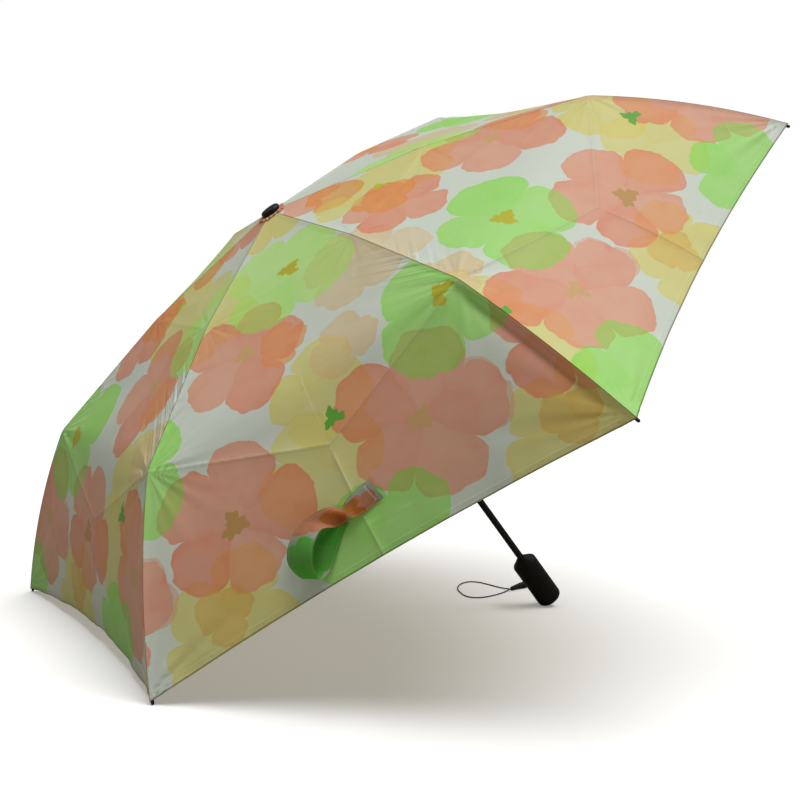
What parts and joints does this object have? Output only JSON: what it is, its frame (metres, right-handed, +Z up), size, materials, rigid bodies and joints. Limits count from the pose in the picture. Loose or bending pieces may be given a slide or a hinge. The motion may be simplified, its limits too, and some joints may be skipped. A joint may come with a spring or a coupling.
{
  "type": "folding umbrella",
  "caption": "Compact folding umbrella, open, with a telescoping shaft, jointed ribs, a printed cloth canopy, a short handle and a wrist cord.",
  "frame": {"origin": "on the floor, below the middle of the box around the open umbrella without its wrist cord, as it lies on two neighbouring rib tips and the rim of its handle", "axes": "+X from the two resting tips towards the handle, +Y along the line through those tips, the canopy's widest way, +Z up; the shaft leans 39.3 degrees from the vertical towards -X"},
  "size_m": [0.6596, 0.9808, 0.5623],
  "materials": {
    "soft_plastic": "matte",
    "hard_plastic": "satin",
    "black_steel": "satin",
    "rib_steel": "satin",
    "printed_polyester": "satin",
    "cord_braid": "matte",
    "cord_rubber": "matte"
  },
  "bodies": {
    "handle": {"handle_grip": "soft_plastic", "handle_end_cap": "soft_plastic", "lower_tube": "black_steel", "wrist_cord": "cord_braid", "cord_ferrule": "cord_rubber"},
    "middle_tube": {"middle_tube": "black_steel"},
    "top_tube": {"top_tube": "black_steel", "crown": "hard_plastic", "top_cap": "hard_plastic"},
    "runner": {"runner": "hard_plastic"},
    "release_button": {"release_button": "hard_plastic"},
    "top_rib_1": {"top_rib_1": "rib_steel", "canopy_inner_1": "printed_polyester"},
    "middle_rib_1": {"middle_rib_1": "rib_steel", "canopy_middle_1": "printed_polyester"},
    "outer_rib_1": {"outer_rib_1": "black_steel", "tip_1": "hard_plastic", "canopy_outer_1": "printed_polyester"},
    "stretcher_1": {"stretcher_1": "rib_steel"},
    "top_rib_2": {"top_rib_2": "rib_steel", "canopy_inner_2": "printed_polyester"},
    "middle_rib_2": {"middle_rib_2": "rib_steel", "canopy_middle_2": "printed_polyester"},
    "outer_rib_2": {"outer_rib_2": "black_steel", "tip_2": "hard_plastic", "canopy_outer_2": "printed_polyester"},
    "stretcher_2": {"stretcher_2": "rib_steel"},
    "top_rib_3": {"top_rib_3": "rib_steel", "canopy_inner_3": "printed_polyester"},
    "middle_rib_3": {"middle_rib_3": "rib_steel", "canopy_middle_3": "printed_polyester"},
    "outer_rib_3": {"outer_rib_3": "black_steel", "tip_3": "hard_plastic", "canopy_outer_3": "printed_polyester"},
    "stretcher_3": {"stretcher_3": "rib_steel"},
    "top_rib_4": {"top_rib_4": "rib_steel", "canopy_inner_4": "printed_polyester"},
    "middle_rib_4": {"middle_rib_4": "rib_steel", "canopy_middle_4": "printed_polyester"},
    "outer_rib_4": {"outer_rib_4": "black_steel", "tip_4": "hard_plastic", "canopy_outer_4": "printed_polyester"},
    "stretcher_4": {"stretcher_4": "rib_steel"},
    "top_rib_5": {"top_rib_5": "rib_steel", "canopy_inner_5": "printed_polyester"},
    "middle_rib_5": {"middle_rib_5": "rib_steel", "canopy_middle_5": "printed_polyester"},
    "outer_rib_5": {"outer_rib_5": "black_steel", "tip_5": "hard_plastic", "canopy_outer_5": "printed_polyester", "tie_strap": "printed_polyester"},
    "stretcher_5": {"stretcher_5": "rib_steel"},
    "top_rib_6": {"top_rib_6": "rib_steel", "canopy_inner_6": "printed_polyester"},
    "middle_rib_6": {"middle_rib_6": "rib_steel", "canopy_middle_6": "printed_polyester"},
    "outer_rib_6": {"outer_rib_6": "black_steel", "tip_6": "hard_plastic", "canopy_outer_6": "printed_polyester"},
    "stretcher_6": {"stretcher_6": "rib_steel"}
  },
  "joints": [
    {"name": "middle_tube_slide", "type": "slide", "parent": "handle", "child": "middle_tube", "axis": [0.6336, 0, -0.7737], "range_m": [0, 0.147]},
    {"name": "top_tube_slide", "type": "slide", "parent": "middle_tube", "child": "top_tube", "axis": [0.6336, 0, -0.7737], "range_m": [0, 0.147]},
    {"name": "runner_slide", "type": "slide", "parent": "top_tube", "child": "runner", "axis": [0.6336, 0, -0.7737], "range_m": [0, 0.09957], "deforming": ["canopy_inner_1", "canopy_middle_1", "canopy_outer_1", "canopy_inner_2", "canopy_middle_2", "canopy_outer_2", "canopy_inner_3", "canopy_middle_3", "canopy_outer_3", "canopy_inner_4", "canopy_middle_4", "canopy_outer_4", "canopy_inner_5", "canopy_middle_5", "canopy_outer_5", "canopy_inner_6", "canopy_middle_6", "canopy_outer_6", "tie_strap"]},
    {"name": "button_press", "type": "slide", "parent": "runner", "child": "release_button", "axis": [-0.7737, 0, -0.6336], "range_m": [0, 0.0008], "stiffness_N_per_m": 800, "springref_m": -0.0005},
    {"name": "top_rib_hinge_1", "type": "hinge", "parent": "top_tube", "child": "top_rib_1", "pos_m": [-0.12772, 0.0045, 0.43807], "axis": [-0.3868, 0.866, -0.3168], "range_deg": [0, 80.03]},
    {"name": "middle_rib_hinge_1", "type": "hinge", "parent": "top_rib_1", "child": "middle_rib_1", "pos_m": [-0.00394, 0.08471, 0.5062], "axis": [0.3868, -0.866, 0.3168], "range_deg": [0, 185.95]},
    {"name": "outer_rib_hinge_1", "type": "hinge", "parent": "middle_rib_1", "child": "outer_rib_1", "pos_m": [0.13817, 0.1665, 0.55624], "axis": [-0.3868, 0.866, -0.3168], "range_deg": [0, 155.21]},
    {"name": "stretcher_hinge_1", "type": "hinge", "parent": "runner", "child": "stretcher_1", "pos_m": [-0.09267, 0.00445, 0.39513], "axis": [0.3868, -0.866, 0.3168], "range_deg": [0, 58.82]},
    {"name": "top_rib_hinge_2", "type": "hinge", "parent": "top_tube", "child": "top_rib_2", "pos_m": [-0.13375, 0.009, 0.43313], "axis": [-0.7737, 0, -0.6336], "range_deg": [0, 80.03]},
    {"name": "middle_rib_hinge_2", "type": "hinge", "parent": "top_rib_2", "child": "middle_rib_2", "pos_m": [-0.11746, 0.16942, 0.41323], "axis": [0.7737, 0, 0.6336], "range_deg": [0, 185.95]},
    {"name": "outer_rib_hinge_2", "type": "hinge", "parent": "middle_rib_2", "child": "outer_rib_2", "pos_m": [-0.08494, 0.33299, 0.37352], "axis": [-0.7737, 0, -0.6336], "range_deg": [0, 155.21]},
    {"name": "stretcher_hinge_2", "type": "hinge", "parent": "runner", "child": "stretcher_2", "pos_m": [-0.09863, 0.0089, 0.39025], "axis": [0.7737, 0, 0.6336], "range_deg": [0, 58.82]},
    {"name": "top_rib_hinge_3", "type": "hinge", "parent": "top_tube", "child": "top_rib_3", "pos_m": [-0.13978, 0.0045, 0.42819], "axis": [-0.3868, -0.866, -0.3168], "range_deg": [0, 80.03]},
    {"name": "middle_rib_hinge_3", "type": "hinge", "parent": "top_rib_3", "child": "middle_rib_3", "pos_m": [-0.23097, 0.08471, 0.32027], "axis": [0.3868, 0.866, 0.3168], "range_deg": [0, 185.95]},
    {"name": "outer_rib_hinge_3", "type": "hinge", "parent": "middle_rib_3", "child": "outer_rib_3", "pos_m": [-0.30804, 0.1665, 0.19081], "axis": [-0.3868, -0.866, -0.3168], "range_deg": [0, 155.21]},
    {"name": "stretcher_hinge_3", "type": "hinge", "parent": "runner", "child": "stretcher_3", "pos_m": [-0.10459, 0.00445, 0.38536], "axis": [0.3868, 0.866, 0.3168], "range_deg": [0, 58.82]},
    {"name": "top_rib_hinge_4", "type": "hinge", "parent": "top_tube", "child": "top_rib_4", "pos_m": [-0.13978, -0.0045, 0.42819], "axis": [0.3868, -0.866, 0.3168], "range_deg": [0, 80.03]},
    {"name": "middle_rib_hinge_4", "type": "hinge", "parent": "top_rib_4", "child": "middle_rib_4", "pos_m": [-0.23097, -0.08471, 0.32027], "axis": [-0.3868, 0.866, -0.3168], "range_deg": [0, 185.95]},
    {"name": "outer_rib_hinge_4", "type": "hinge", "parent": "middle_rib_4", "child": "outer_rib_4", "pos_m": [-0.30804, -0.1665, 0.19081], "axis": [0.3868, -0.866, 0.3168], "range_deg": [0, 155.21]},
    {"name": "stretcher_hinge_4", "type": "hinge", "parent": "runner", "child": "stretcher_4", "pos_m": [-0.10459, -0.00445, 0.38536], "axis": [-0.3868, 0.866, -0.3168], "range_deg": [0, 58.82]},
    {"name": "top_rib_hinge_5", "type": "hinge", "parent": "top_tube", "child": "top_rib_5", "pos_m": [-0.13375, -0.009, 0.43313], "axis": [0.7737, 0, 0.6336], "range_deg": [0, 80.03]},
    {"name": "middle_rib_hinge_5", "type": "hinge", "parent": "top_rib_5", "child": "middle_rib_5", "pos_m": [-0.11746, -0.16942, 0.41323], "axis": [-0.7737, 0, -0.6336], "range_deg": [0, 185.95]},
    {"name": "outer_rib_hinge_5", "type": "hinge", "parent": "middle_rib_5", "child": "outer_rib_5", "pos_m": [-0.08494, -0.33299, 0.37352], "axis": [0.7737, 0, 0.6336], "range_deg": [0, 155.21]},
    {"name": "stretcher_hinge_5", "type": "hinge", "parent": "runner", "child": "stretcher_5", "pos_m": [-0.09863, -0.0089, 0.39025], "axis": [-0.7737, 0, -0.6336], "range_deg": [0, 58.82]},
    {"name": "top_rib_hinge_6", "type": "hinge", "parent": "top_tube", "child": "top_rib_6", "pos_m": [-0.12772, -0.0045, 0.43807], "axis": [0.3868, 0.866, 0.3168], "range_deg": [0, 80.03]},
    {"name": "middle_rib_hinge_6", "type": "hinge", "parent": "top_rib_6", "child": "middle_rib_6", "pos_m": [-0.00394, -0.08471, 0.5062], "axis": [-0.3868, -0.866, -0.3168], "range_deg": [0, 185.95]},
    {"name": "outer_rib_hinge_6", "type": "hinge", "parent": "middle_rib_6", "child": "outer_rib_6", "pos_m": [0.13817, -0.1665, 0.55624], "axis": [0.3868, 0.866, 0.3168], "range_deg": [0, 155.21]},
    {"name": "stretcher_hinge_6", "type": "hinge", "parent": "runner", "child": "stretcher_6", "pos_m": [-0.09267, -0.00445, 0.39513], "axis": [-0.3868, -0.866, -0.3168], "range_deg": [0, 58.82]}
  ],
  "couplings": [
    {"joint": "top_rib_hinge_1", "follows": "runner_slide", "rad_per_m": 14.028},
    {"joint": "middle_rib_hinge_1", "follows": "runner_slide", "rad_per_m": 32.594},
    {"joint": "outer_rib_hinge_1", "follows": "runner_slide", "rad_per_m": 27.206},
    {"joint": "stretcher_hinge_1", "follows": "runner_slide", "rad_per_m": 10.311},
    {"joint": "top_rib_hinge_2", "follows": "runner_slide", "rad_per_m": 14.028},
    {"joint": "middle_rib_hinge_2", "follows": "runner_slide", "rad_per_m": 32.594},
    {"joint": "outer_rib_hinge_2", "follows": "runner_slide", "rad_per_m": 27.206},
    {"joint": "stretcher_hinge_2", "follows": "runner_slide", "rad_per_m": 10.311},
    {"joint": "top_rib_hinge_3", "follows": "runner_slide", "rad_per_m": 14.028},
    {"joint": "middle_rib_hinge_3", "follows": "runner_slide", "rad_per_m": 32.594},
    {"joint": "outer_rib_hinge_3", "follows": "runner_slide", "rad_per_m": 27.206},
    {"joint": "stretcher_hinge_3", "follows": "runner_slide", "rad_per_m": 10.311},
    {"joint": "top_rib_hinge_4", "follows": "runner_slide", "rad_per_m": 14.028},
    {"joint": "middle_rib_hinge_4", "follows": "runner_slide", "rad_per_m": 32.594},
    {"joint": "outer_rib_hinge_4", "follows": "runner_slide", "rad_per_m": 27.206},
    {"joint": "stretcher_hinge_4", "follows": "runner_slide", "rad_per_m": 10.311},
    {"joint": "top_rib_hinge_5", "follows": "runner_slide", "rad_per_m": 14.028},
    {"joint": "middle_rib_hinge_5", "follows": "runner_slide", "rad_per_m": 32.594},
    {"joint": "outer_rib_hinge_5", "follows": "runner_slide", "rad_per_m": 27.206},
    {"joint": "stretcher_hinge_5", "follows": "runner_slide", "rad_per_m": 10.311},
    {"joint": "top_rib_hinge_6", "follows": "runner_slide", "rad_per_m": 14.028},
    {"joint": "middle_rib_hinge_6", "follows": "runner_slide", "rad_per_m": 32.594},
    {"joint": "outer_rib_hinge_6", "follows": "runner_slide", "rad_per_m": 27.206},
    {"joint": "stretcher_hinge_6", "follows": "runner_slide", "rad_per_m": 10.311}
  ]
}
